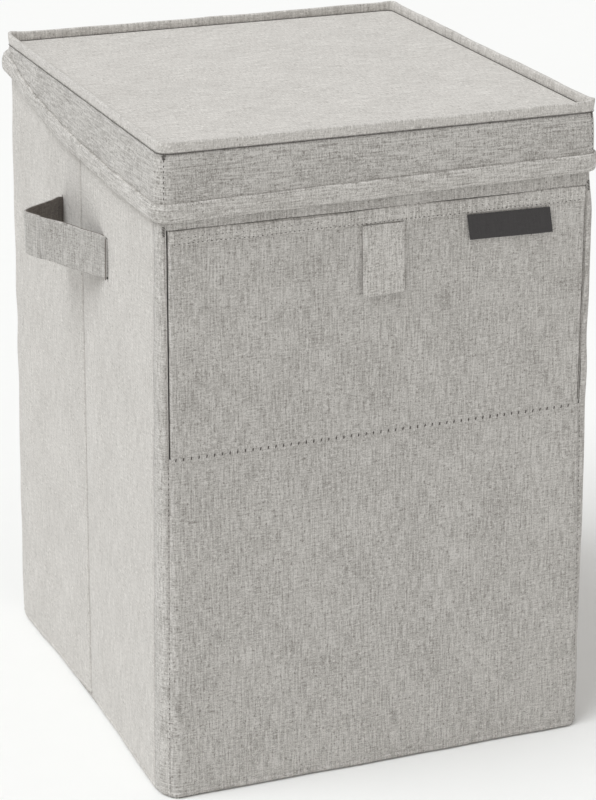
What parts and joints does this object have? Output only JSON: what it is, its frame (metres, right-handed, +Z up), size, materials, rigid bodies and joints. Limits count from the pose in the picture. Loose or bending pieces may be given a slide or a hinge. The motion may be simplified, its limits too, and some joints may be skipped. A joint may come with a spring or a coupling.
{
  "type": "laundry hamper with lid",
  "caption": "Square fabric laundry hamper with a hinged lid, a drop-down front door, strap handles and folding side walls.",
  "frame": {"origin": "middle of the underside, on the surface the hamper stands on", "axes": "+Z up, -Y towards the door in the front wall, +X to the right as seen from the front"},
  "size_m": [0.3738, 0.3312, 0.45],
  "materials": {
    "cover_fabric": "flecked grey-beige plain weave",
    "lining_fabric": "light nonwoven lining",
    "strap_fabric": "folded and stitched woven cloth",
    "label_weave": "dense charcoal weave, blank",
    "board": "pressed fibre board",
    "magnet": "plated disc",
    "strip_plastic": "flexible extruded strip"
  },
  "bodies": {
    "back": {"back_cover": "cover_fabric", "back_board": "board", "back_corner_boards": "board", "back_lining": "lining_fabric", "bottom_fabric": "cover_fabric", "lid_hinge_strip": "cover_fabric"},
    "rear_left": {"rear_left_cover": "cover_fabric", "rear_left_board": "board", "rear_left_lining": "lining_fabric", "left_rear_anchor": "strap_fabric", "left_handle": "strap_fabric"},
    "front_left": {"front_left_cover": "cover_fabric", "front_left_board": "board", "front_left_lining": "lining_fabric", "left_front_anchor": "strap_fabric"},
    "rear_right": {"rear_right_cover": "cover_fabric", "rear_right_board": "board", "rear_right_lining": "lining_fabric", "right_rear_anchor": "strap_fabric", "right_handle": "strap_fabric"},
    "front_right": {"front_right_cover": "cover_fabric", "front_right_board": "board", "front_right_lining": "lining_fabric", "right_front_anchor": "strap_fabric"},
    "front": {"front_cover": "cover_fabric", "front_board": "board", "front_corner_boards": "board", "front_lining": "lining_fabric", "door_stop": "strap_fabric", "stop_magnets": "magnet"},
    "door": {"door_cover": "cover_fabric", "door_board": "board", "door_lining": "lining_fabric", "door_hem": "cover_fabric", "door_magnets": "magnet", "blank_label": "label_weave"},
    "pull_tab": {"pull_tab": "strap_fabric"},
    "lid": {"lid_cover": "cover_fabric", "lid_board": "board", "lid_lining": "lining_fabric", "lid_rim": "cover_fabric", "rim_strip": "strip_plastic", "lid_front_skirt": "cover_fabric", "lid_left_skirt": "cover_fabric", "lid_right_skirt": "cover_fabric", "lid_skirt_corners": "cover_fabric", "lid_hem": "cover_fabric"},
    "base": {"base_board": "board", "base_cover": "lining_fabric", "base_liner": "lining_fabric", "base_ribbon": "strap_fabric"}
  },
  "joints": [
    {"name": "rear_left_fold", "type": "hinge", "parent": "back", "child": "rear_left", "pos_m": [-0.1459, 0.144, 0.2], "axis": [0, 0, -1], "range_deg": [-88, 0], "deforming": ["bottom_fabric", "left_handle", "right_handle"]},
    {"name": "left_middle_fold", "type": "hinge", "parent": "rear_left", "child": "front_left", "pos_m": [-0.1504, 0, 0.2], "axis": [0, 0, -1], "range_deg": [0, 176]},
    {"name": "front_left_fold", "type": "hinge", "parent": "front_left", "child": "front", "pos_m": [-0.1459, -0.144, 0.2], "axis": [0, 0, -1], "range_deg": [-88, 0]},
    {"name": "rear_right_fold", "type": "hinge", "parent": "back", "child": "rear_right", "pos_m": [0.1459, 0.144, 0.2], "axis": [0, 0, -1], "range_deg": [0, 88]},
    {"name": "right_middle_fold", "type": "hinge", "parent": "rear_right", "child": "front_right", "pos_m": [0.1504, 0, 0.2], "axis": [0, 0, -1], "range_deg": [-176, 0]},
    {"name": "door_hinge", "type": "hinge", "parent": "front", "child": "door", "pos_m": [0, -0.1646, 0.241], "axis": [1, 0, 0], "range_deg": [0, 172]},
    {"name": "pull_tab_hinge", "type": "hinge", "parent": "door", "child": "pull_tab", "pos_m": [0, -0.1651, 0.3832], "axis": [1, 0, 0], "range_deg": [-95, 0]},
    {"name": "lid_hinge", "type": "hinge", "parent": "back", "child": "lid", "pos_m": [0, 0.1651, 0.4394], "axis": [-1, 0, 0], "range_deg": [0, 175]},
    {"name": "base_hinge", "type": "hinge", "parent": "back", "child": "base", "pos_m": [0, 0.1552, 0.0013], "axis": [1, 0, 0], "range_deg": [-89, 0]}
  ],
  "couplings": [
    {"joint": "left_middle_fold", "follows": "rear_left_fold", "ratio": -2},
    {"joint": "front_left_fold", "follows": "rear_left_fold", "ratio": 1},
    {"joint": "rear_right_fold", "follows": "rear_left_fold", "ratio": -1},
    {"joint": "right_middle_fold", "follows": "rear_left_fold", "ratio": 2}
  ]
}
